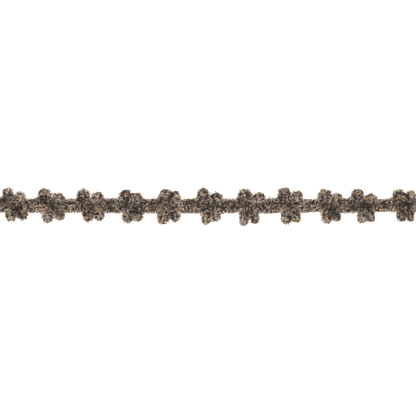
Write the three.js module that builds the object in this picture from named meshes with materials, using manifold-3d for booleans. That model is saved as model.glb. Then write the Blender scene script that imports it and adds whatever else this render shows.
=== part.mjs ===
// Chenille flower trim, a cut length that lies flat on its back.
// Two chenille yarns run side by side. At each flower the upper yarn is thrown into two tight loops
// and so is the lower one, which gives four petals. A fine thread in the crease binds the yarns.
// Millimetres. The trim lies along X on the plane z = 0, and +Y is the side of the upper yarn.

import * as THREE from "three";
import { mergeVertices } from "three/addons/utils/BufferGeometryUtils.js";
import Module from "manifold-3d";

const manifold = await Module();
manifold.setup();

// Cut length and yarn
const trimLength = 228;
const pileWidth = 3.4; // across the pile in the band
const pileHeight = 3.4;
const yarnGap = 0.5; // between the two yarns
const bandCentre = (pileWidth + yarnGap) / 2; // of each yarn, from the crease
const bandEdge = bandCentre + pileWidth / 2;

// Petals: the two legs of a loop lie against each other with a groove between them
const petalHeight = 4.4; // the pile is crowded in a flower and stands higher
const grooveDepth = 1.4;
const rootHeight = 1.9; // a petal begins low, beside the crease and under the thread
const rootNarrowing = 0.72;
const rootLean = 0.85; // share of a petal's lean that it has at its root
const shoulderFromCrease = 1.2; // where a petal reaches its height
const tipAngles = [0, 30, 56, 80]; // of the sections round a petal's tip
const linkHeight = 2.6; // of the yarn where it passes from one petal to the next

// Binding thread in the crease
const threadWidth = 0.4;
const threadUnderside = 2.6;
const threadSway = 0.08;
const threadSwayPitch = 9.4;

// Unevenness of the pile
const lump = 0.15;
const lumpPitch = 3.1;

// Fineness of the faces. An odd number of sides gives a flat underside and a row of points on top.
const petalSides = 9;
const bandSides = 7;
const threadSides = 5;
const bandStep = 1.9;
const threadStep = 2.6;

// One petal: how far its tip leans along the trim, how far it reaches from the crease, its width near
// the tip, and its width at the root where that differs
const petal = (lean, reach, width, root = width) => ({ lean, reach, width, root });

// One row for each flower: its place along the trim and its left and right petal on either side
const flowers = [
  {
    at: -102.0,
    upper: [petal(-4.0, 9.5, 4.9, 6.9), petal(3.0, 7.1, 5.6)],
    lower: [petal(-2.5, 8.7, 5.5), petal(4.0, 8.0, 5.5)],
  },
  {
    at: -82.6,
    upper: [petal(-3.9, 9.3, 7.1), petal(3.7, 7.0, 6.5)],
    lower: [petal(-2.2, 9.3, 6.1), petal(4.6, 8.4, 5.4)],
  },
  {
    at: -62.0,
    upper: [petal(-3.9, 9.0, 7.0), petal(4.4, 7.3, 6.0)],
    lower: [petal(-1.5, 9.0, 6.5), petal(5.0, 7.8, 5.0)],
  },
  {
    at: -40.8,
    upper: [petal(-3.1, 8.7, 7.0), petal(3.3, 6.7, 6.0)],
    lower: [petal(-2.0, 9.6, 5.5), petal(3.9, 8.7, 5.4)],
  },
  {
    at: -20.6,
    upper: [petal(-2.5, 8.9, 6.6), petal(3.5, 7.9, 5.8)],
    lower: [petal(-3.0, 10.0, 6.3), petal(3.2, 8.3, 5.8)],
  },
  {
    at: 0.7,
    upper: [petal(-3.6, 9.6, 6.6), petal(4.0, 7.0, 6.8)],
    lower: [petal(-1.9, 10.3, 5.5, 6.3), petal(3.9, 8.8, 4.9)],
  },
  {
    at: 22.7,
    upper: [petal(-3.4, 9.1, 7.2), petal(4.0, 6.8, 6.8)],
    lower: [petal(-3.6, 10.7, 4.4, 5.8), petal(1.9, 9.6, 5.4)],
  },
  {
    at: 43.0,
    upper: [petal(-2.6, 9.8, 7.1), petal(4.0, 7.8, 5.8)],
    lower: [petal(-1.7, 9.9, 5.8), petal(4.0, 9.1, 5.0)],
  },
  {
    at: 64.7,
    upper: [petal(-3.0, 8.7, 7.2), petal(3.9, 6.5, 6.3)],
    lower: [petal(-1.9, 9.6, 6.4), petal(3.6, 8.8, 4.6)],
  },
  {
    at: 82.9,
    upper: [petal(-3.6, 9.1, 6.7), petal(3.6, 6.2, 6.8)],
    lower: [petal(-1.8, 9.5, 5.2, 7.0), petal(3.5, 9.0, 5.0)],
  },
  {
    at: 103.5,
    upper: [petal(-2.7, 9.0, 7.1), petal(3.9, 7.8, 5.4)],
    lower: [petal(-1.4, 8.4, 6.4), petal(4.0, 8.6, 4.8)],
  },
];

// The pile is uneven: every point is moved a little by waves as long as a clump of tufts.
// The underside, z = 0, and the cut ends of the band stay flat.
function uneven(point) {
  const wave = (2 * Math.PI) / lumpPitch;
  const { x, y, z } = point;
  const outOfBand = Math.max(0, Math.abs(y) - bandEdge) / bandEdge;
  point.x = x + lump * outOfBand * Math.sin(wave * y);
  point.y = y + lump * Math.min(1, Math.abs(y) / bandCentre) * Math.sin(wave * x + 0.7);
  point.z = z + lump * (z / pileHeight) * Math.sin(0.8 * wave * x) * Math.cos(0.7 * wave * y);
}

// A closed form lofted through sections. Each has the middle of its underside, the direction across
// it, its width and height, and the depth of the groove along its top.
function loft(sides, sections) {
  const last = sections.length - 1;
  const geometry = new THREE.CylinderGeometry(1, 1, 1, sides, last);
  const places = geometry.attributes.position;
  const lowest = -Math.cos(Math.PI / sides);
  for (let i = 0; i < places.count; i += 1) {
    const section = sections[Math.round((places.getY(i) + 0.5) * last)];
    const share = (places.getZ(i) - lowest) / (1 - lowest);
    const onTop = share > 0.99 ? section.groove : 0;
    const point = section.under.clone();
    point.addScaledVector(section.across, (places.getX(i) * section.width) / 2);
    point.z += share * section.height - onTop;
    uneven(point);
    places.setXYZ(i, point.x, point.y, point.z);
  }
  return geometry;
}

// Geometry into a solid that can be joined and cut, and back
function toSolid(geometry) {
  const bare = geometry.clone();
  bare.deleteAttribute("normal");
  bare.deleteAttribute("uv");
  const merged = mergeVertices(bare, 1e-4);
  const mesh = new manifold.Mesh({
    numProp: 3,
    vertProperties: new Float32Array(merged.attributes.position.array),
    triVerts: new Uint32Array(merged.index.array),
  });
  return new manifold.Manifold(mesh);
}

function toGeometry(solid) {
  const { vertProperties, triVerts } = solid.getMesh();
  const geometry = new THREE.BufferGeometry();
  geometry.setAttribute("position", new THREE.BufferAttribute(vertProperties, 3));
  geometry.setIndex(new THREE.BufferAttribute(triVerts, 1));
  geometry.computeVertexNormals();
  return geometry;
}

// A stretch of yarn along the band
function bandStretch(side, fromX, toX, height) {
  const steps = Math.max(1, Math.round((toX - fromX) / bandStep));
  const sections = [];
  for (let i = 0; i <= steps; i += 1) {
    sections.push({
      under: new THREE.Vector3(fromX + (i / steps) * (toX - fromX), side * bandCentre, 0),
      across: new THREE.Vector3(0, -1, 0),
      width: pileWidth,
      height,
      groove: 0,
    });
  }
  return loft(bandSides, sections);
}

// A petal from its root beside the crease to its round tip
function petalLoop(rootX, tipX, shape, side) {
  const half = shape.width / 2;
  const root = new THREE.Vector3(rootX, (side * yarnGap) / 2, 0);
  const shoulder = new THREE.Vector3(rootX, side * shoulderFromCrease, 0);
  const tipCentre = new THREE.Vector3(tipX, side * (shape.reach - half), 0);
  const alongBand = new THREE.Vector3(side, 0, 0);
  const outward = tipCentre.clone().sub(shoulder).normalize();
  const across = outward.clone().cross(new THREE.Vector3(0, 0, 1));
  const height = petalHeight;
  const sections = [
    { under: root, across: alongBand, width: rootNarrowing * shape.root, height: rootHeight, groove: 0 },
    { under: shoulder, across: alongBand, width: shape.root, height, groove: grooveDepth },
  ];
  for (const angle of tipAngles) {
    const turn = THREE.MathUtils.degToRad(angle);
    const under = tipCentre.clone().addScaledVector(outward, half * Math.sin(turn));
    // The yarn's own roundness, past the middle of its pile where it rounds the tip
    const pastMiddle = Math.max(0, 2 * Math.sin(turn) - 1);
    const roundness = Math.sqrt(1 - pastMiddle ** 2);
    under.z = (height * (1 - roundness)) / 2;
    sections.push({
      under,
      across,
      width: shape.width * Math.cos(turn),
      height: height * roundness,
      groove: grooveDepth * Math.cos(turn) ** 2,
    });
  }
  return loft(petalSides, sections);
}

// One whole yarn: along the band to a flower, up and down its two loops, and on to the next
function chenilleYarn(side, petalsOf) {
  const solids = [];
  let reached = -trimLength / 2;
  for (const flower of flowers) {
    const shapes = petalsOf(flower);
    const roots = shapes.map((shape) => flower.at + rootLean * shape.lean);
    solids.push(bandStretch(side, reached, roots[0], pileHeight));
    solids.push(bandStretch(side, roots[0], roots[1], linkHeight));
    for (let i = 0; i < shapes.length; i += 1) {
      solids.push(petalLoop(roots[i], flower.at + shapes[i].lean, shapes[i], side));
    }
    reached = roots[1];
  }
  solids.push(bandStretch(side, reached, trimLength / 2, pileHeight));
  return toGeometry(solids.map(toSolid).reduce((whole, next) => whole.add(next)));
}

// The thread lies on the crease and sways from yarn to yarn
function bindingThread() {
  const steps = Math.round(trimLength / threadStep);
  const sections = [];
  for (let i = 0; i <= steps; i += 1) {
    const x = (i / steps - 0.5) * trimLength;
    const y = threadSway * Math.sin((2 * Math.PI * x) / threadSwayPitch);
    sections.push({
      under: new THREE.Vector3(x, y, threadUnderside),
      across: new THREE.Vector3(0, -1, 0),
      width: threadWidth,
      height: threadWidth,
      groove: 0,
    });
  }
  return loft(threadSides, sections);
}

const chenillePile = new THREE.MeshStandardMaterial({ color: "#6b5f57", roughness: 0.95, metalness: 0 });
const tanThread = new THREE.MeshStandardMaterial({ color: "#b59a74", roughness: 0.7, metalness: 0 });

function namedMesh(name, geometry, material) {
  const mesh = new THREE.Mesh(geometry, material);
  mesh.name = name;
  return mesh;
}

const trim = new THREE.Group();
trim.add(namedMesh("chenille_yarn_upper", chenilleYarn(1, (flower) => flower.upper), chenillePile));
trim.add(namedMesh("chenille_yarn_lower", chenilleYarn(-1, (flower) => flower.lower), chenillePile));
trim.add(namedMesh("binding_thread", bindingThread(), tanThread));

// The lower petals reach further than the upper ones, so the crease lies off the middle of the trim
const middle = new THREE.Box3().setFromObject(trim).getCenter(new THREE.Vector3());
trim.position.y = -middle.y;

export default trim;
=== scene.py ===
# Chenille flower trim: two chenille yarns with cut pile, looped into flowers and bound along the crease.
# The tables hold millimetres, as a ruler gives them. Everything that is built is in metres.

import math

import bpy
import numpy as np
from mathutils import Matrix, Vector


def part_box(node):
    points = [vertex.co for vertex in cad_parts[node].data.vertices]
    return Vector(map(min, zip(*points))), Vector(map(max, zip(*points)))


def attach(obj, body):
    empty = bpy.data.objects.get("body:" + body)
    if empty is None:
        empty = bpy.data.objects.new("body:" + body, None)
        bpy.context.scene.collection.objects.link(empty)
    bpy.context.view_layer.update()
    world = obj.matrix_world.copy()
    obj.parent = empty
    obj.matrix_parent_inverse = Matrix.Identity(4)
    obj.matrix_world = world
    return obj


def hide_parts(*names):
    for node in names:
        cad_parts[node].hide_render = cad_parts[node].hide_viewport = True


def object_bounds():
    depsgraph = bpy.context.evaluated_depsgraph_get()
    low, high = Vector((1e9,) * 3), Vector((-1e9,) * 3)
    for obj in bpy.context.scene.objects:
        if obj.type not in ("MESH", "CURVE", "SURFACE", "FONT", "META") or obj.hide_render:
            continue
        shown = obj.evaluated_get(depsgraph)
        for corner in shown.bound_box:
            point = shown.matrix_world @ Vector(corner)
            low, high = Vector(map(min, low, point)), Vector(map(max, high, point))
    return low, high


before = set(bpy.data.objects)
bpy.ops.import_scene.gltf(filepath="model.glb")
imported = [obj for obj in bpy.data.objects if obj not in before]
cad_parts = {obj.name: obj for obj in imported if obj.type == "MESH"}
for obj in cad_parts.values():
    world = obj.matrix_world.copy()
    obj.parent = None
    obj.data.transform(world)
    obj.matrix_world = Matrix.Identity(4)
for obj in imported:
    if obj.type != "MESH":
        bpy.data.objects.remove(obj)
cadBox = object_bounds()
mm = 0.001
clearance = 0.01  # mm that the trim stays above the floor
tiny = 1e-9  # keeps a direction of no length from being divided by nought

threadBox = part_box("binding_thread")
creaseY = (threadBox[0].y + threadBox[1].y) / 2 / mm  # the crease between the yarns, in mm
trimEnd = cadBox[1].x / mm  # half of the cut length
print("frame loaded, crease at", round(creaseY, 2), "mm")

# camera: straight above, as the trim was photographed
cameraView = {
    "lens": 200.0,
    "sensor": 36.0,
    "widthSeen": 219.6,  # mm of trim across the picture
    "belowCrease": 1.3,  # the picture's middle lies this far from the crease
    "lookAtHeight": 3.0,
    "farthest": 20.0,  # metres, the last thing that the camera sees
}


def makeCamera(view):
    data = bpy.data.cameras.new("photoCamera")
    data.lens = view["lens"]
    data.sensor_width = view["sensor"]
    data.clip_end = view["farthest"]
    camera = bpy.data.objects.new("photoCamera", data)
    bpy.context.scene.collection.objects.link(camera)
    distance = view["widthSeen"] * view["lens"] / view["sensor"] + view["lookAtHeight"]
    camera.location = (0, (creaseY - view["belowCrease"]) * mm, distance * mm)
    bpy.context.scene.camera = camera


makeCamera(cameraView)
print("camera set, straight above the trim")


# a petal's lean along the trim, its reach from the crease, its width, and its width at the root
def petal(lean, reach, width, root=None):
    return {"lean": lean, "reach": reach, "width": width, "root": root or width}


# one row for each flower: its place along the trim, how strong the painted shade and light of its sunk and
# raised pile are, how much painted shade lies in the gaps between its upper and between its lower petals,
# and the left and right petal of the upper and of the lower yarn
flowers = [
    {"at": -102.0, "depth": 1.5, "gaps": (0.4, 0.55),
     "upper": (petal(-4.0, 9.5, 5.2, 6.0), petal(3.0, 7.3, 5.6)),
     "lower": (petal(-2.4, 8.7, 5.7), petal(4.1, 8.0, 5.7))},
    {"at": -82.6, "depth": 1.6, "gaps": (0.3, 0.5),
     "upper": (petal(-4.0, 9.3, 6.9), petal(3.8, 7.0, 6.8)),
     "lower": (petal(-2.2, 9.5, 6.1), petal(4.6, 8.4, 5.4))},
    {"at": -62.0, "depth": 1.3, "gaps": (0.3, 0.45),
     "upper": (petal(-4.1, 9.0, 6.5), petal(3.8, 7.4, 6.0)),
     "lower": (petal(-1.3, 9.0, 6.8), petal(4.8, 8.2, 5.3))},
    {"at": -40.8, "depth": 0.6, "gaps": (0.2, 0.25),
     "upper": (petal(-2.9, 8.8, 6.8), petal(3.3, 6.9, 6.0)),
     "lower": (petal(-1.8, 9.7, 5.8), petal(3.9, 8.7, 5.4))},
    {"at": -20.6, "depth": 0.9, "gaps": (0.3, 0.35),
     "upper": (petal(-2.3, 8.9, 6.4), petal(3.3, 7.9, 5.8)),
     "lower": (petal(-3.1, 10.2, 6.5), petal(3.4, 9.0, 5.8))},
    {"at": 0.7, "depth": 0.5, "gaps": (0.2, 0.3),
     "upper": (petal(-3.6, 9.5, 6.2), petal(3.8, 7.1, 6.8)),
     "lower": (petal(-1.7, 10.3, 5.5, 6.8), petal(3.7, 8.9, 5.1, 4.4))},
    {"at": 22.7, "depth": 0.7, "gaps": (0.3, 0.3),
     "upper": (petal(-3.5, 9.1, 7.2), petal(4.2, 7.1, 6.8)),
     "lower": (petal(-3.8, 10.8, 4.2, 6.6), petal(2.0, 9.6, 5.0))},
    {"at": 43.0, "depth": 1.1, "gaps": (0.4, 0.25),
     "upper": (petal(-3.0, 9.8, 6.5), petal(4.2, 7.8, 5.8)),
     "lower": (petal(-1.7, 10.2, 5.8), petal(3.8, 9.2, 5.0, 4.2))},
    {"at": 64.7, "depth": 1.3, "gaps": (0.25, 0.45),
     "upper": (petal(-3.0, 8.9, 7.2), petal(3.6, 6.5, 6.2)),
     "lower": (petal(-1.9, 9.8, 6.4), petal(3.3, 8.6, 4.6, 4.2))},
    {"at": 82.9, "depth": 1.8, "gaps": (0.4, 0.45),
     "upper": (petal(-4.0, 9.0, 6.4), petal(3.4, 6.4, 6.8)),
     "lower": (petal(-1.7, 9.5, 5.2, 5.4), petal(3.2, 9.0, 4.8, 4.0))},
    {"at": 103.5, "depth": 1.7, "gaps": (0.4, 0.25),
     "upper": (petal(-2.7, 8.9, 7.1), petal(3.9, 7.8, 5.4)),
     "lower": (petal(-1.3, 8.7, 6.2, 5.4), petal(3.2, 8.6, 4.8))},
]

# pile radius of each yarn in the band, from the left end to the right end: one before each flower
bandPiles = {
    "upper": (1.85, 1.8, 1.85, 2.0, 1.9, 1.75, 1.8, 1.95, 1.75, 2.0, 1.85, 1.85),
    "lower": (2.0, 2.05, 2.0, 2.0, 2.15, 2.2, 2.1, 2.15, 1.9, 2.0, 1.7, 1.8),
}

yarn = {
    "bandHeight": 1.7,  # of the core
    "petalHeight": 2.05,
    "legsApart": 0.4,  # of a petal's half width: the legs of a loop are pressed together
    "rootLean": 0.85,  # share of a petal's lean that it has at its root
    "rootFromCrease": 1.1,  # the thread draws the yarn in where it turns into a petal
    "linkFromCrease": 2.0,  # the yarn between the two petals of a flower
    "linkPile": 2.3,  # crowded there, so the pile is pressed wide
    "rootFuller": 0.35,  # the pile there is wider than the legs alone make it
    "rootHigher": 0.1,
    "notchFill": {"upper": 0.55, "lower": 0.25},  # pile pressed into the gap between the petals
    # a left petal's first leg climbs at a slant: how far its root is moved out and up, and its wider pile
    "climb": {"upper": (1.6, 1.3, 0.35), "lower": (0.8, 0.6, 0.0)},
    "squareTip": 0.6,  # the right upper petals end squarer: 1 is round, 0 a square
    "turnPoints": 9,
    "cornerRadius": 1.1,
    "cornerShare": 0.48,  # a rounding takes less than half of a straight, so that two don't meet
    "cornerPoints": 6,
    "bandFromRoot": 1.5,  # where the yarn is back in the band
    "bandFromCrease": 0.93,  # of the band's pile radius: the two yarns are pressed together
    "bandWider": 1.05,
    "bandHigher": 0.15,
    "footFromCrease": 1.25,  # the yarn's feet under the petals, held by the thread
    "footPile": 1.55,
    "sampleStep": 0.1,
    "wander": 0.13,  # the yarn never lies quite true
    "wanderPitch": 2.5,
    "steadyEnd": 2.0,  # it doesn't wander lengthwise this close to a cut end
}


# the yarn's way: rows of x, y from the crease, height of the core, pile radius across and up
def petalWay(at, shape, name, isLeft):
    side = 1 if name == "upper" else -1
    notchFill = yarn["notchFill"][name]
    climbOut, climbUp, climbFuller = yarn["climb"][name]
    half = shape["width"] / 2
    tip = np.array([at + shape["lean"], side * (shape["reach"] - half)])
    rootX = at + yarn["rootLean"] * shape["lean"]
    outward = tip - np.array([rootX, side * yarn["linkFromCrease"]])
    outward /= np.linalg.norm(outward)
    right = side * np.array([outward[1], -outward[0]])
    legFromMiddle, legPile = yarn["legsApart"] * half, (1 - yarn["legsApart"]) * half
    blunt = yarn["squareTip"] if side > 0 and not isLeft else 1.0
    turned = []
    for angle in np.linspace(0, math.pi, yarn["turnPoints"]):
        forward = math.sin(angle) ** blunt
        aside = abs(math.cos(angle)) ** blunt * math.copysign(1, math.cos(angle))
        place = tip + legFromMiddle * (outward * forward - right * aside)
        inner = -math.cos(angle) if isLeft else math.cos(angle)
        pressed = legPile + notchFill * max(0, inner) ** 2
        turned.append(np.array([*place, yarn["petalHeight"], pressed, yarn["petalHeight"]]))
    ends = []
    for leg, tipRow in ((-1, turned[0]), (1, turned[-1])):
        root = [rootX + leg * shape["root"] / 6, side * yarn["rootFromCrease"], yarn["bandHeight"]]
        rootPile = shape["root"] / 4 + yarn["rootFuller"]
        rootRow = np.array([*root, rootPile, yarn["bandHeight"] + yarn["rootHigher"]])
        middleRow = (rootRow + tipRow) / 2
        if (leg > 0) == isLeft:  # the leg beside the other petal
            middleRow[3] += notchFill
        elif isLeft:
            rootRow[0] -= climbOut
            rootRow[1] += side * climbUp
            rootRow[3] += climbFuller
        ends.append([rootRow, middleRow] if leg < 0 else [middleRow, rootRow])
    return [*ends[0], *turned, *ends[1]]


def roundCorner(before, corner, after, radius):
    toBefore, toAfter = before - corner, after - corner
    gapBefore, gapAfter = np.linalg.norm(toBefore[:2]), np.linalg.norm(toAfter[:2])
    start = corner + toBefore * min(radius, yarn["cornerShare"] * gapBefore) / gapBefore
    end = corner + toAfter * min(radius, yarn["cornerShare"] * gapAfter) / gapAfter
    places = np.linspace(0, 1, yarn["cornerPoints"])
    return [(1 - t) ** 2 * start + 2 * t * (1 - t) * corner + t**2 * end for t in places]


def yarnWay(side, name):
    def bandRow(x, number):
        half = bandPiles[name][number]
        y, pileUp = side * yarn["bandFromCrease"] * half, yarn["bandHeight"] + yarn["bandHigher"]
        return np.array([x, y, yarn["bandHeight"], yarn["bandWider"] * half, pileUp])

    linkRow = [side * yarn["linkFromCrease"], yarn["bandHeight"], yarn["linkPile"], yarn["bandHeight"]]
    rows, corners = [bandRow(-trimEnd, 0)], set()
    for number, flower in enumerate(flowers):
        left = petalWay(flower["at"], flower[name][0], name, True)
        right = petalWay(flower["at"], flower[name][1], name, False)
        link = np.array([(left[-1][0] + right[0][0]) / 2, *linkRow])
        rows.append(bandRow(left[0][0] - yarn["bandFromRoot"], number))
        corners |= {len(rows), len(rows) + len(left) - 1, len(rows) + len(left) + 1}
        rows += [*left, link, *right]
        corners.add(len(rows) - 1)
        rows.append(bandRow(right[-1][0] + yarn["bandFromRoot"], number + 1))
    rows.append(bandRow(trimEnd, len(flowers)))
    way = []
    for i, row in enumerate(rows):
        if i in corners:
            way += roundCorner(rows[i - 1], row, rows[i + 1], yarn["cornerRadius"])
        else:
            way.append(row)
    return resampled(np.array(way), yarn["sampleStep"])


def footWay(flower, side, name):
    left, right = flower[name]
    fromX = flower["at"] + yarn["rootLean"] * left["lean"] - left["root"] / 4
    toX = flower["at"] + yarn["rootLean"] * right["lean"] + right["root"] / 4
    row = [side * yarn["footFromCrease"], yarn["footPile"], yarn["footPile"], yarn["footPile"]]
    return resampled(np.array([[fromX, *row], [toX, *row]]), yarn["sampleStep"])


def sampled(columns, gone, places):
    return np.stack([np.interp(places, gone, column) for column in columns.T], axis=1)


def resampled(rows, step):
    gone = np.concatenate([[0], np.cumsum(np.linalg.norm(np.diff(rows[:, :3], axis=0), axis=1))])
    return sampled(rows, gone, np.linspace(0, gone[-1], int(gone[-1] / step)))


def softNoise(places, pitch, rng):
    knots = np.arange(places.min() - pitch, places.max() + 2 * pitch, pitch)
    return np.interp(places, knots, rng.normal(0, 1, len(knots)))


# meshes from arrays
def meshPiece(name, points, faces, uv, material):
    mesh = bpy.data.meshes.new(name)
    corners = faces.shape[1]
    mesh.vertices.add(len(points))
    mesh.vertices.foreach_set("co", (points * mm).astype(np.float32).ravel())
    mesh.loops.add(faces.size)
    mesh.loops.foreach_set("vertex_index", faces.astype(np.int32).ravel())
    mesh.polygons.add(len(faces))
    mesh.polygons.foreach_set("loop_start", np.arange(0, faces.size, corners, dtype=np.int32))
    mesh.polygons.foreach_set("use_smooth", np.ones(len(faces), dtype=bool))
    layer = mesh.uv_layers.new(name="OFBake")  # the map that the pile's colours are read through
    layer.uv.foreach_set("vector", uv[faces.ravel()].astype(np.float32).ravel())
    mesh.update()
    mesh.validate()
    mesh.materials.append(material)
    piece = bpy.data.objects.new(name, mesh)
    bpy.context.scene.collection.objects.link(piece)
    return piece


# where faces lie on the map that the pile's colours are read through: a tuft's shade across, and its dye and
# the way from root to tip upward. Corners are set a little apart, so that every face has some area there
bakeMap = {
    "margin": 0.01,
    "rootToTip": (0.02, 0.98),
    "strandCorners": (-0.003, 0, 0.003),
    "tubeCorner": 0.002,
}


# many thin tapered strands at once, each three-sided, closed at its root and at its tip
def strandMesh(spine, radius, shade, dye):
    # spine is (strands, rings, 3), radius is (strands, rings), shade and dye are (strands)
    count, rings, _ = spine.shape
    along = np.gradient(spine, axis=1)
    along /= np.maximum(np.linalg.norm(along, axis=2, keepdims=True), tiny)
    isSteep = np.abs(along[:, :1, 2:]) > 0.8
    helper = np.where(isSteep, [[[1.0, 0, 0]]], [[[0, 0, 1.0]]])  # any direction but the strand's own
    across = np.cross(along, helper)
    across /= np.maximum(np.linalg.norm(across, axis=2, keepdims=True), tiny)
    over = np.cross(across, along)
    corners = np.arange(3) * 2 * math.pi / 3
    ring = across[:, :, None] * np.cos(corners)[:, None] + over[:, :, None] * np.sin(corners)[:, None]
    points = spine[:, :, None] + ring * radius[:, :, None, None]
    points = points.reshape(count, rings * 3, 3)
    first = []
    for r in range(rings - 1):
        for c in range(3):
            a, b = 3 * r + c, 3 * r + (c + 1) % 3
            first += [[a, b, b + 3], [a, b + 3, a + 3]]
    top = 3 * (rings - 1)
    first += [[0, 2, 1], [top, top + 1, top + 2]]
    first = np.array(first)[:, ::-1]
    faces = (first[None] + (np.arange(count) * rings * 3)[:, None, None]).reshape(-1, 3)
    height = np.repeat(np.linspace(*bakeMap["rootToTip"], rings), 3)
    uv = np.empty((count, rings * 3, 2))
    margin = bakeMap["margin"]
    uv[:, :, 0] = shade[:, None] * (1 - 2 * margin) + margin + np.tile(bakeMap["strandCorners"], rings)
    uv[:, :, 1] = (dye[:, None] + height) / 2
    return points.reshape(-1, 3), faces, uv.reshape(-1, 2)


# real pile is about 0.02 mm thick with hundreds of ends to a turn of the yarn, too fine to show here, so it
# is drawn as fewer and thicker strands of the same length and lie
pile = {
    "rowSpacing": 0.96,  # between tufts along the yarn
    "rowJitter": 0.08,
    "crowdedInBends": 2.0,
    "ribPitch": 2.04,  # the tufts gather into ribs
    "ribShift": 0.12,
    "ribHeight": 0.04,  # share of the pile's radius
    "tuftsRound": 12,
    "stagger": 0.37,  # of a tuft's place, from one row to the next
    "strandsInTuft": 3,
    "turnSpread": 0.14,  # of a tuft round the yarn, and of a strand in its tuft, in radians
    "fullness": 1.125,  # the tips curl over, so a tuft is longer than the pile is deep
    "squareness": 2.4,  # 2 is a round pile: neighbouring pile is pressed together and squarer
    "uneven": 0.05,  # in the length of the tufts,
    "unevenSlow": 0.05,  # along the yarn,
    "unevenPitch": 2.0,
    "unevenStrand": 0.03,  # and from strand to strand
    "body": 0.78,  # of the pile's radius: inside it the pile is too dense to see into
    "strandWidth": 0.3,
    "widthSpread": (0.8, 1.2),
    "taper": (0.85, 1.0, 0.95, 0.5),  # from root to tip
    "lockWidth": 0.12,
    "spread": 0.3,  # how far tufts lean from straight out
    "strandSpread": 0.25,
    "golden": 0.3,  # share of the tufts that are golden tan and not taupe
    "lowest": -0.72,  # sine of the lowest place round the yarn that has all its tufts
    "keptBelow": 0.2,  # share of the tufts on the yarn's underside
    "keptInBend": 0.35,  # and on the inner side of a bend
    "sharpBend": 0.2,  # in 1/mm
    "footLowest": 0.2,
    "keptOnFeet": 0.5,
    "seed": 7,
}

# the way of each strand: it rises from the dense pile and curls over like a C
curl = {
    "begin": 0.66,  # of the pile's radius, where the strands come out of the dense pile
    "steps": (0.0, 0.4, 0.72, 1.0),  # of its length, where it has a ring of points
    "risesEarly": 1.8,
    "turnsLate": 1.3,
    "opens": 1.6,  # how soon it has the curl's whole radius
    "radius": 0.38,
    "sizes": (0.6, 1.25),
    "turns": (1.6, 4.0),  # how far round a tuft curls, in radians
    "uneven": 0.6,
}

# the pile beside the crease is pressed up over the thread
overThread = {
    "longer": 0.34,
    "aim": 0.35,  # how much a tuft has to point at the crease
    "rise": 0.15,  # and up
    "within": 2.3,  # of the crease
}

# how pale or dark each tuft is: 0 is the darkest and 1 the palest
tone = {
    "middle": 0.57,
    "lowerPaler": 0.03,  # the lower yarn is a little paler
    "each": 0.12,  # spread from tuft to tuft,
    "patches": 0.24,  # from clump to clump,
    "slow": 0.15,  # and along the yarn
    "slowWaves": 0.6,
    "longPitch": 7.0,
    "shortPitch": 2.5,
    "tan": 0.06,  # share of the tufts that are pale tan
    "palestTan": 0.8,
    "paintedReliefStrength": 1.4,
    "spotStrength": 1.6,
    "rimPaler": 0.9,  # light comes through the rim of the pile
    "rimHeight": 1.15,
    "rimFromCrease": 2.2,
    "lowerBandPaler": 0.05,
    # painted shade along the crease between the two yarns
    "paintedCreaseShade": 0.14,
    "creaseWidth": 1.3,
    "creaseInFlower": 1.2,  # how much darker again in a flower
    "flowerLength": 4.5,
    # painted shade in the gap between the two petals of a flower
    "gapStart": 0.3,  # from the crease
    "gapShort": 1.5,  # a gap ends this far inside the shorter petal's tip
    "gapReach": 0.9,
    "gapWidth": 0.6,
    "flecks": 0.3,  # spread from strand to strand,
    "darkFlecks": 0.3,  # and more where the pile is dark
    "darkBelow": 0.5,
    "darkest": 0.6,
}

# places along the trim where the pile has parted and the thread shows, and how long each is
threadGlimpses = [(-47.5, 1.2), (-11.5, 3.4), (-4.2, 1.4), (10.2, 1.6), (32.6, 1.8), (90.3, 2.6)]


def partedAt(x):
    return np.any([np.abs(x - place) < length / 2 for place, length in threadGlimpses], axis=0)


def tuftShades(rows, count, lighter, rng):
    # most of the pile is taupe, with greige and tan in it, and no two stretches are quite the same
    slow = tone["slowWaves"] * softNoise(rows, tone["longPitch"], rng)
    slow = slow + tone["slowWaves"] * softNoise(rows, tone["shortPitch"], rng)
    each = rng.normal(0, 1, (len(rows), count))
    patch = overNeighbours(rng.normal(0, 1, (len(rows), count)))
    shades = tone["middle"] + lighter + tone["each"] * each + tone["patches"] * patch
    shades = shades + tone["slow"] * slow[:, None]
    tan = rng.random(shades.shape) < tone["tan"]
    shades[tan] = rng.uniform(tone["palestTan"], 1.0, tan.sum())
    return np.clip(shades, 0, 1)


def overNeighbours(values):
    # the mean over neighbouring tufts, stretched back to a spread of one
    near = sum(np.roll(values, (i, j), axis=(0, 1)) for i in (-1, 0, 1) for j in (-1, 0, 1))
    return near / near.std()


def paintedValleyShades(side):
    # painted shade in the gap between the two petals of a flower: where it begins and ends, and how much
    # darker it is
    name = "upper" if side > 0 else "lower"
    for flower in flowers:
        left, right = flower[name]
        lean = (left["lean"] + right["lean"]) / 2
        width, root = left["width"] - right["width"], left["root"] - right["root"]
        notch = tone["gapReach"] * (min(left["reach"], right["reach"]) - tone["gapShort"])
        inner = (flower["at"] + yarn["rootLean"] * lean + root / 4, side * tone["gapStart"])
        outer = (flower["at"] + lean + width / 4, side * notch)
        yield inner, outer, flower["gaps"][0 if side > 0 else 1]


# painted shade where the pile is sunk and painted light where it stands up, at every flower: along from its
# middle and up from the crease, half length and half width, and how much darker, or paler if below zero
paintedRelief = [
    (-5.0, 3.7, 2.2, 2.0, 0.2),
    (-2.0, 0.6, 1.9, 1.9, 0.12),
    (2.4, -2.3, 2.4, 1.6, 0.24),
    (3.6, -4.8, 1.6, 1.8, 0.12),
    (-0.9, 5.0, 1.4, 1.2, -0.12),
    (-3.4, 8.6, 2.8, 0.9, -0.2),
    (4.2, 4.6, 1.8, 1.5, -0.1),
    (-2.2, -8.2, 2.4, 1.1, -0.16),
    (-8.3, -1.9, 2.6, 1.3, -0.16),
]
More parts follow.
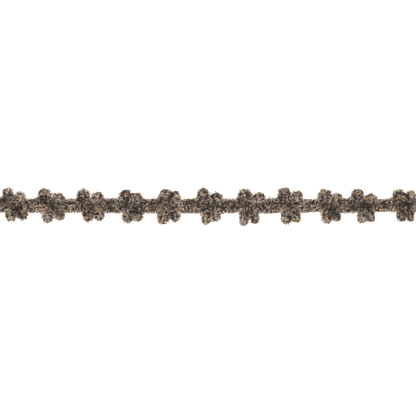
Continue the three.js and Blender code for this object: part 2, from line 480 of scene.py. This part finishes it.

# single places, painted shade where the pile has parted and paler where a tuft stands out: along from the
# trim's middle and up from the crease, half width, and how much darker, or paler if below zero
shadeAndToneSpots = [
    (-106.3, 3.4, 1.5, 0.3), (-101.5, -2.7, 1.8, 0.5), (-102.2, 6.6, 0.9, -0.4),
    (-98.0, 4.0, 1.6, -0.15),
    (-87.8, 3.0, 1.4, 0.35), (-82.1, -2.3, 1.3, 0.35), (-78.6, -4.5, 1.2, 0.3),
    (-66.7, 3.1, 1.4, 0.2), (-63.2, -4.9, 1.4, 0.35), (-46.5, 2.9, 1.0, -0.35),
    (-44.3, -0.5, 1.3, 0.35), (-40.3, -3.6, 1.2, 0.4),
    (-18.8, 5.9, 0.8, 0.7), (-19.6, 4.6, 0.8, 0.7), (-16.5, 5.6, 1.3, -0.25), (-18.3, -4.2, 2.0, 0.25),
    (-8.4, -1.8, 1.2, -0.35), (5.4, -7.2, 1.0, -0.45), (9.8, -2.4, 0.9, -0.6), (-1.9, -1.5, 1.5, 0.15),
    (21.1, -3.9, 1.1, 0.45), (25.9, 1.5, 1.2, -0.35), (21.5, 0.0, 2.5, 0.1),
    (42.2, 0.6, 1.8, 0.3), (46.6, -5.1, 1.3, 0.3),
    (61.6, 3.7, 2.0, 0.3), (65.5, -2.5, 1.5, 0.45), (67.3, -5.0, 1.1, 0.3),
    (78.0, 5.2, 1.2, 0.35), (74.8, 1.0, 1.8, 0.25), (81.8, -1.7, 1.8, 0.3), (88.7, 1.8, 0.9, -0.4),
    (99.5, 6.0, 1.2, 0.35), (104.7, 1.4, 1.3, 0.4), (101.6, -3.5, 1.8, 0.3), (102.0, 7.3, 1.1, -0.2),
]
goldenPlace = (9.8, -2.4, 1.1)  # where one golden tuft stands out, and its radius


def paintedLightShadeAndTone(point, rise, side):
    # painted light and shade: paler at the rim of the pile where light comes through, painted shade in the
    # crease, between the petals and where the pile is sunk, painted light where it stands up, single darker
    # and paler places, and a little paler on the lower band between the flowers
    x, y = point[..., 0], point[..., 1] - creaseY
    fromCrease = np.abs(y)
    rim = np.clip(tone["rimHeight"] - tone["rimHeight"] * np.abs(rise), 0, 1)
    rim = rim * np.clip(fromCrease - tone["rimFromCrease"], 0, 1)
    inFlower = sum(np.exp(-(((x - flower["at"]) / tone["flowerLength"]) ** 2)) for flower in flowers)
    inCrease = np.exp(-((fromCrease / tone["creaseWidth"]) ** 2))
    creaseShadeAmount = tone["paintedCreaseShade"] * (1 + tone["creaseInFlower"] * inFlower)
    shade = tone["rimPaler"] * rim - creaseShadeAmount * inCrease
    shade = shade + tone["lowerBandPaler"] * (1 - np.clip(inFlower, 0, 1)) * np.clip(-y, 0, 1)
    for reliefX, reliefY, halfLength, halfWidth, darker in paintedRelief:
        for flower in flowers:
            away = ((x - flower["at"] - reliefX) / halfLength) ** 2 + ((y - reliefY) / halfWidth) ** 2
            shade = shade - tone["paintedReliefStrength"] * darker * flower["depth"] * np.exp(-away)
    for spotX, spotY, halfWidth, darker in shadeAndToneSpots:
        away = ((x - spotX) ** 2 + (y - spotY) ** 2) / halfWidth**2
        shade = shade - tone["spotStrength"] * darker * np.exp(-away)
    for (x0, y0), (x1, y1), darker in paintedValleyShades(side):
        length = (x1 - x0) ** 2 + (y1 - y0) ** 2
        share = np.clip(((x - x0) * (x1 - x0) + (y - y0) * (y1 - y0)) / length, 0, 1)
        away = np.hypot(x - x0 - share * (x1 - x0), y - y0 - share * (y1 - y0))
        shade = shade - darker * np.exp(-((away / tone["gapWidth"]) ** 2))
    return shade


bends = {
    "reach": 0.25,  # the yarn's direction is taken over this length to either side
    "sharpest": 0.9,  # in 1/mm
    "samples": 9,  # of the way that are smoothed together
}


def frameAlong(way, gone, rows):
    # directions along the yarn, to its right and up from it
    ahead = sampled(way[:, :3], gone, rows + bends["reach"])
    behind = sampled(way[:, :3], gone, rows - bends["reach"])
    along = ahead - behind
    along /= np.linalg.norm(along, axis=1, keepdims=True)
    side = np.cross(along, [0, 0, 1.0])
    side /= np.linalg.norm(side, axis=1, keepdims=True)
    return along, side, np.cross(side, along)


def bendOf(way):
    # how sharply the yarn bends to the left, in 1/mm
    heading = np.unwrap(np.arctan2(*np.gradient(way[:, :2], axis=0).T[::-1]))
    bend = np.clip(np.gradient(heading) / yarn["sampleStep"], -bends["sharpest"], bends["sharpest"])
    return np.convolve(bend, np.ones(bends["samples"]) / bends["samples"], mode="same")


def tuftRows(bend, gone):
    # closer where the yarn bends, since the pile fans out on the outer side of a bend
    crowded = np.cumsum((1 + pile["crowdedInBends"] * np.abs(bend)) * yarn["sampleStep"])
    margin = yarn["sampleStep"]
    return np.interp(np.arange(margin, crowded[-1] - margin, pile["rowSpacing"]), crowded, gone)


def pileOfYarn(way, side, lighter, lowest, share, rng):
    gone = np.arange(len(way)) * yarn["sampleStep"]
    bend = bendOf(way)
    rows = tuftRows(bend, gone)
    ribs = 2 * math.pi * rows / pile["ribPitch"]
    jitter = rng.normal(0, pile["rowJitter"], len(rows))
    rows = np.clip(rows + pile["ribShift"] * np.sin(ribs) + jitter, 0, gone[-1])
    core = sampled(way[:, :3], gone, rows)
    core[:, 1] += yarn["wander"] * softNoise(rows, yarn["wanderPitch"], rng)
    inside = np.abs(core[:, 0]) < trimEnd - yarn["steadyEnd"]
    core[:, 0] += yarn["wander"] * softNoise(rows, yarn["wanderPitch"], rng) * inside
    halfAcross = np.interp(rows, gone, way[:, 3])[:, None, None]
    halfUp = np.interp(rows, gone, way[:, 4])[:, None, None]
    along, right, up = (axis[:, None, None] for axis in frameAlong(way, gone, rows))

    # one number for each row and tuft
    count = pile["tuftsRound"]
    tufts = (len(rows), count, 1)
    turn = np.arange(count)[None] + pile["stagger"] * np.arange(len(rows))[:, None]
    turn = 2 * math.pi * turn / count
    turn = turn[:, :, None] + rng.normal(0, pile["turnSpread"], tufts)
    shades = tuftShades(rows, count, lighter, rng)[:, :, None]
    clump = 1 + pile["uneven"] * rng.normal(0, 1, tufts) + pile["ribHeight"] * np.cos(ribs)[:, None, None]
    clump = clump + pile["unevenSlow"] * softNoise(rows, pile["unevenPitch"], rng)[:, None, None]
    lengthwise = pile["spread"] * rng.normal(0, 1, tufts)
    curlTurn = rng.uniform(*curl["turns"], tufts)
    curlRadius = curl["radius"] * rng.uniform(*curl["sizes"], tufts)
    curlAim = rng.normal(0, 1, (*tufts, 3))
    kept = (np.sin(turn) > lowest) | (rng.random(tufts) < pile["keptBelow"] * (lowest < 0))
    inward = -np.cos(turn) * np.interp(rows, gone, bend)[:, None, None]
    kept &= (inward < pile["sharpBend"]) | (rng.random(tufts) < pile["keptInBend"])
    kept &= rng.random(tufts) < share

    # from here on there is one number for each row, tuft and strand: a tuft curls as one lock
    shape = (*tufts[:2], pile["strandsInTuft"])
    place = np.linspace(-1, 1, pile["strandsInTuft"])
    turn = turn + pile["turnSpread"] * rng.normal(0, 1, shape)
    lengthwise = lengthwise + pile["strandSpread"] * rng.normal(0, 1, shape)
    across, rise = np.cos(turn), np.sin(turn)
    power = pile["squareness"]
    reach = (np.abs(across / halfAcross) ** power + np.abs(rise / halfUp) ** power) ** (-1 / power)
    reach = reach * pile["fullness"] * clump * rng.normal(1.0, pile["unevenStrand"], shape)
    outward = across[..., None] * right + rise[..., None] * up
    offCrease = side * (core[:, 1] - creaseY)[:, None, None]
    creaseward = (-side * outward[..., 1] > overThread["aim"]) & (rise > overThread["rise"])
    creaseward &= (offCrease < overThread["within"]) & ~partedAt(core[:, 0])[:, None, None]
    reach = reach * (1 + overThread["longer"] * creaseward)
    end = core[:, None, None] + outward * reach[..., None]
    # painted light and shade by place on top of each tuft's own tone
    shades = shades + paintedLightShadeAndTone(end, rise, side)
    aim = outward + lengthwise[..., None] * along
    aim /= np.linalg.norm(aim, axis=-1, keepdims=True)
    first = np.cross(aim, curlAim)
    first /= np.maximum(np.linalg.norm(first, axis=-1, keepdims=True), tiny)
    second = np.cross(aim, first)

    # each strand rises and then curls over, so that its end lies on the pile's surface
    steps = np.array(curl["steps"])
    risen = 1 - (1 - steps) ** curl["risesEarly"]
    opened = np.minimum(1, curl["opens"] * steps)
    curled = (curlTurn + curl["uneven"] * rng.normal(0, 1, shape))[..., None] * steps ** curl["turnsLate"]
    loop = (curlRadius + pile["lockWidth"] * place)[..., None] * opened
    begin = curl["begin"]
    spine = core[:, None, None, None] + reach[..., None, None] * (
        begin * outward[..., None, :] + (1 - begin) * aim[..., None, :] * risen[:, None]
    )
    middle = curlRadius[..., None] * opened
    spine = spine + (loop * np.cos(curled) - middle)[..., None] * first[..., None, :]
    spine = spine + (loop * np.sin(curled))[..., None] * second[..., None, :]
    width = pile["strandWidth"] / 2 * rng.uniform(*pile["widthSpread"], shape)
    radius = width[..., None] * np.array(pile["taper"])
    spine[..., 2] = np.maximum(spine[..., 2], radius + clearance)
    flecked = tone["flecks"] + tone["darkFlecks"] * np.clip(tone["darkBelow"] - shades, 0, tone["darkest"])
    shade = np.clip(shades + flecked * rng.normal(0, 1, shape), 0, 1)
    kept = kept & np.ones(shape, dtype=bool)
    owner = nearestFlower(core)[:, None, None] * np.ones(shape, dtype=int)
    goldenX, goldenY, goldenRadius = goldenPlace
    inGolden = np.hypot(end[..., 0] - goldenX, end[..., 1] - creaseY - goldenY) < goldenRadius
    dye = 1.0 * (rng.random(tufts) < np.where(inGolden, 1, pile["golden"]))
    return spine[kept], radius[kept], shade[kept], dye[kept], owner[kept]


def nearestFlower(core):
    places = np.array([flower["at"] for flower in flowers])
    return np.abs(core[:, :1] - places[None]).argmin(axis=1)


# a tube through rings of points, closed at both ends
def tubeMesh(rings, shades, height):
    # rings is (rings, sides, 3), shades (rings, sides)
    count, sides, _ = rings.shape
    faces = []
    for c in range(sides):
        a = np.arange(count - 1) * sides + c
        b = np.arange(count - 1) * sides + (c + 1) % sides
        faces += [np.stack([a, b, b + sides], axis=1), np.stack([a, b + sides, a + sides], axis=1)]
    last = (count - 1) * sides
    for c in range(1, sides - 1):
        faces += [np.array([[0, c + 1, c]]), np.array([[last, last + c, last + c + 1]])]
    across = bakeMap["margin"] + (1 - 2 * bakeMap["margin"]) * shades
    upward = height + bakeMap["tubeCorner"] * np.arange(sides) * np.ones((count, 1))
    uv = np.stack([across, upward], axis=-1)
    return rings.reshape(-1, 3), np.concatenate(faces), uv.reshape(-1, 2)


body = {
    "sides": 16,
    "ringStep": 0.45,
    "lump": 0.15,  # share of the radius
    "rough": 0.7,
    "endTaper": (0.3, 0.72, 0.92),  # of the radius, at the rings next to a cut end
    # its dark shade and its low place on the map from root to tip are painted shade of the deep pile
    "shade": -0.04,
    "shadeSpread": 0.08,
    "shadeGrain": 0.16,
    "palest": 0.25,
    "mapHeight": 0.17,  # its place on the map from root to tip: inside the pile it is dark
}

filling = {
    "rings": 252,
    "sides": 10,
    "radius": 0.95,
    "fromCrease": 0.8,  # of its radius
    "height": 1.0,
    "lump": 0.12,
    "shortOfEnd": 0.7,
    # dark, as painted shade of the crease
    "shade": 0.12,
    "shadeSpread": 0.08,
    "mapHeight": 0.12,
}


def creaseFilling(side, lighter, rng):
    # pile of both yarns pressed together under the thread, coloured dark as painted shade of the crease
    end, sides = trimEnd - filling["shortOfEnd"], filling["sides"]
    x = np.linspace(-end, end, filling["rings"])
    turn = np.arange(sides) * 2 * math.pi / sides
    size = filling["radius"] * (1 + filling["lump"] * rng.normal(0, 1, (len(x), sides)))
    middle = side * filling["radius"] * filling["fromCrease"]
    y = creaseY + middle + size * np.cos(turn) * side
    z = filling["height"] + side * size * np.sin(turn)
    rings = np.stack([x[:, None] * np.ones(sides), y, np.maximum(z, 2 * clearance)], axis=-1)
    shades = filling["shade"] + lighter + filling["shadeSpread"] * rng.normal(0, 1, size.shape)
    return rings, np.clip(shades, 0, 1)


def bodyOfYarn(way, side, lighter, rng):
    # the inside of the pile: the heads of the shorter tufts, coloured dark as painted shade of the deep pile
    gone = np.arange(len(way)) * yarn["sampleStep"]
    rows = np.linspace(0, gone[-1], int(gone[-1] / body["ringStep"]))
    core = sampled(way[:, :3], gone, rows)
    _, right, up = frameAlong(way, gone, rows)
    turn = np.arange(body["sides"]) * 2 * math.pi / body["sides"]
    noise = rng.normal(0, 1, (len(rows), body["sides"]))
    beside, before = np.roll(noise, 1, axis=1), np.roll(noise, 1, axis=0)
    noise = (noise + beside + before + np.roll(noise, (1, 1), axis=(0, 1))) / 2
    rough = body["rough"] * noise + body["rough"] * rng.normal(0, 1, noise.shape)
    size = pile["body"] * (1 + body["lump"] * rough)
    for number, share in enumerate(body["endTaper"]):
        size[[number, -1 - number]] *= share
    across = (np.interp(rows, gone, way[:, 3])[:, None] * size * np.cos(turn))[..., None]
    rise = (np.interp(rows, gone, way[:, 4])[:, None] * size * np.sin(turn))[..., None]
    rings = core[:, None] + across * right[:, None] + rise * up[:, None]
    rings[..., 2] = np.maximum(rings[..., 2], 2 * clearance)  # flat where it lies
    shades = body["shade"] + lighter + body["shadeSpread"] * noise
    # painted light and shade by place, with paler places held back
    byPlace = paintedLightShadeAndTone(rings, np.sin(turn)[None] * np.ones(noise.shape), side)
    shades += np.minimum(byPlace, body["palest"])
    return rings, np.clip(shades + body["shadeGrain"] * rng.normal(0, 1, noise.shape), 0, 1)


# fine loose fibres that stand out past the pile and blur its outline
looseFibres = {
    "perMillimetre": 9.0,
    "width": 0.07,
    "taper": (1.0, 0.9, 0.5),
    "shortOfEnd": 0.3,
    "turnSpread": 0.6,  # in radians, from straight out to either side
    "begin": 0.75,  # of the pile's radius
    "reach": (0.95, 1.2),
    "tipSpread": 0.35,
    "bend": 0.15,
    "shade": 0.75,
    "shadeSpread": 0.12,
    "lowest": 0.05,
}


def fibresOfYarn(way, rng):
    gone = np.arange(len(way)) * yarn["sampleStep"]
    count = int(gone[-1] * looseFibres["perMillimetre"])
    rows = rng.uniform(looseFibres["shortOfEnd"], gone[-1] - looseFibres["shortOfEnd"], count)
    core = sampled(way[:, :3], gone, rows)
    _, right, up = frameAlong(way, gone, rows)
    turn = np.where(rng.random(count) < 0.5, 0, math.pi) + rng.normal(0, looseFibres["turnSpread"], count)
    across = np.interp(rows, gone, way[:, 3]) * np.cos(turn)
    rise = np.interp(rows, gone, way[:, 4]) * np.sin(turn)
    outward = across[:, None] * right + rise[:, None] * up
    tip = core + outward * rng.uniform(*looseFibres["reach"], count)[:, None]
    tip = tip + rng.normal(0, looseFibres["tipSpread"], (count, 3))
    root = core + looseFibres["begin"] * outward
    bent = (root + tip) / 2 + rng.normal(0, looseFibres["bend"], (count, 3))
    spine = np.stack([root, bent, tip], axis=1)
    spine[..., 2] = np.maximum(spine[..., 2], looseFibres["lowest"])
    radius = looseFibres["width"] / 2 * np.array(looseFibres["taper"]) * np.ones((count, 1))
    shade = np.clip(rng.normal(looseFibres["shade"], looseFibres["shadeSpread"], count), 0, 1)
    return spine, radius, shade, rng.random(count) < pile["golden"]


# the core of a yarn shows at its cut ends: two twisted plies, in line with the yarn
coreEnd = {
    "plyRadius": 0.2,
    "plyFromMiddle": 0.19,
    "plySides": 6,
    "pitch": 1.6,
    "length": 2.0,  # of the stretch that is made, since the pile hides the rest
    "step": 0.2,
    "standsOut": 0.5,
    "shade": 0.72,
    "mapHeight": 0.45,
}


def plyRing(ply, outward):
    corner = outward * np.arange(ply["plySides"]) * 2 * math.pi / ply["plySides"]
    return ply["plyRadius"] * np.stack([0 * corner, np.cos(corner), np.sin(corner)], axis=1)


def coreEnds(way):
    gone = np.arange(0, coreEnd["length"] + 0.01, coreEnd["step"])
    for place, outward in ((way[0], -1), (way[-1], 1)):
        for phase in (0, math.pi):
            turn = 2 * math.pi * gone / coreEnd["pitch"] + phase
            x = place[0] + outward * (coreEnd["standsOut"] - coreEnd["length"] + gone)
            y = place[1] + coreEnd["plyFromMiddle"] * np.cos(turn)
            z = place[2] + coreEnd["plyFromMiddle"] * np.sin(turn)
            rings = np.stack([x, y, z], axis=1)[:, None] + plyRing(coreEnd, outward)
            shades = coreEnd["shade"] * np.ones(rings.shape[:2])
            yield tubeMesh(rings, shades, coreEnd["mapHeight"])


# the binding thread: two fine plies twisted together, swaying along the crease
thread = {
    "plyRadius": 0.11,
    "plyFromMiddle": 0.1,
    "plySides": 6,
    "pitch": 1.5,
    "height": 2.15,  # sunk in the pile
    "glimpseHeight": 2.75,  # where the pile has parted
    "glimpseSlope": 15,  # steps over which it rises
    "sway": 0.08,
    "swayPitch": 9.4,
    "step": 0.15,
    "shade": 0.5,
    "mapHeight": 0.5,
    "streaksPerMillimetre": 2.6,
    "streakDepth": 0.03,
}


def threadPly(phase):
    x = np.arange(-trimEnd, trimEnd + 0.01, thread["step"])
    turn = 2 * math.pi * x / thread["pitch"] + phase
    sway = creaseY + thread["sway"] * np.sin(2 * math.pi * x / thread["swayPitch"])
    up = np.convolve(partedAt(x), np.ones(thread["glimpseSlope"]) / thread["glimpseSlope"], mode="same")
    height = thread["height"] + up * (thread["glimpseHeight"] - thread["height"])
    y = sway + thread["plyFromMiddle"] * np.cos(turn)
    z = height + thread["plyFromMiddle"] * np.sin(turn)
    return np.stack([x, y, z], axis=1)[:, None] + plyRing(thread, 1)


# materials
# sRGB hex to the linear colour that Blender works in
def toLinear(hexColour):
    parts = [int(hexColour[i:i + 2], 16) / 255 for i in (1, 3, 5)]
    return [*(c / 12.92 if c <= 0.04045 else ((c + 0.055) / 1.055) ** 2.4 for c in parts), 1]


def addNode(tree, kind, settings=None, links=None):
    node = tree.nodes.new(kind)
    for name, value in (settings or {}).items():
        if name == "stops":  # of a colour ramp
            while len(node.color_ramp.elements) < len(value):
                node.color_ramp.elements.new(0.5)
            for element, (place, colour) in zip(node.color_ramp.elements, value):
                element.position = place
                element.color = toLinear(colour)
        elif hasattr(node, name):
            setattr(node, name, value)
        else:
            node.inputs[name].default_value = value
    for name, source in (links or {}).items():
        tree.links.new(source, node.inputs[name])
    return node


def newMaterial(name):
    material = bpy.data.materials.new(name)
    material.use_nodes = True
    material.node_tree.nodes.clear()
    return material, material.node_tree


def finishMaterial(tree, shader):
    addNode(tree, "ShaderNodeOutputMaterial", links={"Surface": shader.outputs[0]})


def cutViscosePile():
    # viscose chenille pile, spun from taupe and golden tan fibre, cut and brushed: matt and soft-edged, with
    # a faint pale bloom and flecked with both colours; painted shade darkens it towards the roots of the
    # tufts, and their tips are paler, partly the fibre's own tone and partly painted light coming through
    # the lower half of the map is taupe pile and the upper half is golden
    material, tree = newMaterial("cutViscosePile")
    uv = addNode(tree, "ShaderNodeUVMap", {"uv_map": "OFBake"})
    parts = addNode(tree, "ShaderNodeSeparateXYZ", links={"Vector": uv.outputs[0]})
    doubled = addNode(tree, "ShaderNodeMath", {"operation": "MULTIPLY"}, {0: parts.outputs["Y"]})
    doubled.inputs[1].default_value = 2.0
    along = addNode(tree, "ShaderNodeMath", {"operation": "FRACT"}, {0: doubled.outputs[0]})
    dye = addNode(tree, "ShaderNodeMath", {"operation": "FLOOR"}, {0: doubled.outputs[0]})
    taupeStops = [
        (0.0, "#20150f"), (0.25, "#5e4c44"), (0.5, "#9c8a83"), (0.7, "#cebeb5"),
        (0.85, "#e8d9cb"), (1.0, "#fcf0e2"),
    ]
    goldenStops = [
        (0.0, "#24160b"), (0.25, "#684f3a"), (0.5, "#ad9071"), (0.7, "#ddba90"),
        (0.85, "#f2d09c"), (1.0, "#ffe7b6"),
    ]
    # from root to tip: painted shade at the roots, deep in the pile, and paler tips, partly own tone and
    # partly painted light
    depthStops = [(0.0, "#3a2f29"), (0.35, "#877a71"), (0.7, "#f0ebe6"), (1.0, "#ffffff")]
    taupe = addNode(tree, "ShaderNodeValToRGB", {"stops": taupeStops}, {"Fac": parts.outputs["X"]})
    golden = addNode(tree, "ShaderNodeValToRGB", {"stops": goldenStops}, {"Fac": parts.outputs["X"]})
    depth = addNode(tree, "ShaderNodeValToRGB", {"stops": depthStops}, {"Fac": along.outputs[0]})
    # a Mix node's colours are its sockets 6 and 7, and its result in colour is its output 2
    dyed = addNode(
        tree, "ShaderNodeMix", {"data_type": "RGBA"},
        {"Factor": dye.outputs[0], 6: taupe.outputs["Color"], 7: golden.outputs["Color"]},
    )
    colour = addNode(
        tree, "ShaderNodeMix", {"data_type": "RGBA", "blend_type": "MULTIPLY", "Factor": 1.0},
        {6: dyed.outputs[2], 7: depth.outputs["Color"]},
    )
    shader = addNode(
        tree, "ShaderNodeBsdfPrincipled",
        {"IOR": 1.53, "Roughness": 0.8, "Sheen Weight": 0.1, "Sheen Roughness": 0.5},
        {"Base Color": colour.outputs[2]},
    )
    shader.inputs["Sheen Tint"].default_value = toLinear("#e8dccb")
    finishMaterial(tree, shader)
    return material


def twistedCottonThread():
    # fine mercerised cotton, two plies: a tan with a little shine, darker between the fibres
    # cotton fibre is about 0.015 mm thick, too fine to show, so its streaks are drawn about 0.4 mm apart
    material, tree = newMaterial("twistedCottonThread")
    place = addNode(tree, "ShaderNodeTexCoord")
    streaks = addNode(
        tree, "ShaderNodeTexNoise", {"Scale": thread["streaksPerMillimetre"] / mm, "Detail": 3.0},
        {"Vector": place.outputs["Object"]},
    )
    stops = [(0.3, "#8f7350"), (0.55, "#c0a27a"), (0.75, "#dcc49f")]
    colour = addNode(tree, "ShaderNodeValToRGB", {"stops": stops}, {"Fac": streaks.outputs["Fac"]})
    bump = addNode(
        tree, "ShaderNodeBump", {"Strength": 0.3, "Distance": thread["streakDepth"] * mm},
        {"Height": streaks.outputs["Fac"]},
    )
    shader = addNode(
        tree, "ShaderNodeBsdfPrincipled", {"IOR": 1.55, "Roughness": 0.55},
        {"Base Color": colour.outputs["Color"], "Normal": bump.outputs["Normal"]},
    )
    finishMaterial(tree, shader)
    return material


def matteWhiteSweep():
    # matt paper, coated and rolled without a seam, lit so evenly that it shows neither grain nor shadow
    material, tree = newMaterial("matteWhiteSweep")
    shader = addNode(tree, "ShaderNodeBsdfPrincipled", {"Roughness": 0.9, "Specular IOR Level": 0.0})
    shader.inputs["Base Color"].default_value = toLinear("#f4f4f4")
    shader.inputs["Emission Color"].default_value = (1, 1, 1, 1)
    shader.inputs["Emission Strength"].default_value = 1.0
    finishMaterial(tree, shader)
    return material


pileMaterial = cutViscosePile()


def addPiece(piece, node):
    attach(piece, "root")
    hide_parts(node)


def makeYarn(name, side, seed, lighter):
    rng = np.random.default_rng(seed)
    node = f"chenille_yarn_{name}"
    way = yarnWay(side, name)
    feet = [footWay(flower, side, name) for flower in flowers]
    for stretch in (way, *feet):
        stretch[:, 1] += creaseY
    meshes = []
    for stretch in (way, *feet):
        meshes.append(tubeMesh(*bodyOfYarn(stretch, side, lighter, rng), body["mapHeight"]))
    meshes.append(tubeMesh(*creaseFilling(side, lighter, rng), filling["mapHeight"]))
    meshes += coreEnds(way)
    inside = meshPiece(f"{name}YarnBody", *joined(meshes), pileMaterial)
    addPiece(inside, node)
    triangles = len(inside.data.polygons)
    tufts = [pileOfYarn(way, side, lighter, pile["lowest"], 1.0, rng)]
    for foot in feet:
        tufts.append(pileOfYarn(foot, side, lighter, pile["footLowest"], pile["keptOnFeet"], rng))
    spine, radius, shade, dye, owner = (np.concatenate(part) for part in zip(*tufts))
    for number in range(len(flowers)):
        mine = owner == number
        points, faces, uv = strandMesh(spine[mine], radius[mine], shade[mine], dye[mine])
        piece = meshPiece(f"{name}Pile_{number + 1:02d}", points, faces, uv, pileMaterial)
        addPiece(piece, node)
        triangles += len(faces)
    fibres = meshPiece(f"{name}LooseFibres", *strandMesh(*fibresOfYarn(way, rng)), pileMaterial)
    addPiece(fibres, node)
    triangles += len(fibres.data.polygons)
    length = round(len(way) * yarn["sampleStep"])
    print(name, "yarn:", len(spine), "strands,", triangles, "triangles,", length, "mm of yarn")


def joined(meshes):
    points, faces, uv, first = [], [], [], 0
    for onePoints, oneFaces, oneUv in meshes:
        points.append(onePoints)
        faces.append(oneFaces + first)
        uv.append(oneUv)
        first += len(onePoints)
    return np.concatenate(points), np.concatenate(faces), np.concatenate(uv)


makeYarn("upper", 1, pile["seed"], 0.0)
makeYarn("lower", -1, pile["seed"] + 1, tone["lowerPaler"])

plies = []
for phase in (0, math.pi):
    rings = threadPly(phase)
    plies.append(tubeMesh(rings, thread["shade"] * np.ones(rings.shape[:2]), thread["mapHeight"]))
threadPiece = meshPiece("bindingThread", *joined(plies), twistedCottonThread())
addPiece(threadPiece, "binding_thread")
print("thread:", len(threadPiece.data.polygons), "triangles")

# studio
studio = {
    "floorSize": 6.0,  # metres, as the lamp's size and place are
    "floorBelow": 0.05,  # mm, so that the floor and the trim's back don't share a plane
    "wallStrength": 2.4,  # white walls all round, as in a light tent
    "ceilingStrength": 0.8,
    "keyPower": 8.0,
    "keySize": 0.5,
    "keyPlace": (-0.5, -0.7, 1.5),
}


def makeStudio():
    mesh = bpy.data.meshes.new("whiteSweep")
    half = studio["floorSize"] / 2
    corners = [(-half, -half, 0), (half, -half, 0), (half, half, 0), (-half, half, 0)]
    mesh.from_pydata(corners, [], [(0, 1, 2, 3)])
    floor = bpy.data.objects.new("whiteSweep", mesh)
    floor.location.z = -studio["floorBelow"] * mm
    mesh.materials.append(matteWhiteSweep())
    bpy.context.scene.collection.objects.link(floor)
    world = bpy.data.worlds.new("softRoom")
    world.use_nodes = True
    tree = world.node_tree
    place = addNode(tree, "ShaderNodeTexCoord")
    parts = addNode(tree, "ShaderNodeSeparateXYZ", links={"Vector": place.outputs["Generated"]})
    fromTo = {"From Min": 0.0, "From Max": 1.0, "To Min": studio["wallStrength"]}
    fromTo["To Max"] = studio["ceilingStrength"]
    strength = addNode(tree, "ShaderNodeMapRange", fromTo, {"Value": parts.outputs["Z"]})
    background = tree.nodes["Background"]
    background.inputs["Color"].default_value = (1, 1, 1, 1)
    tree.links.new(strength.outputs["Result"], background.inputs["Strength"])
    bpy.context.scene.world = world
    light = bpy.data.lights.new("softKey", "AREA")
    light.energy = studio["keyPower"]
    light.size = studio["keySize"]
    key = bpy.data.objects.new("softKey", light)
    key.location = studio["keyPlace"]
    key.rotation_euler = (-key.location).to_track_quat("-Z", "Y").to_euler()
    key.visible_camera = False
    bpy.context.scene.collection.objects.link(key)
    bpy.context.scene.view_settings.view_transform = "Standard"


makeStudio()
print("studio lit")
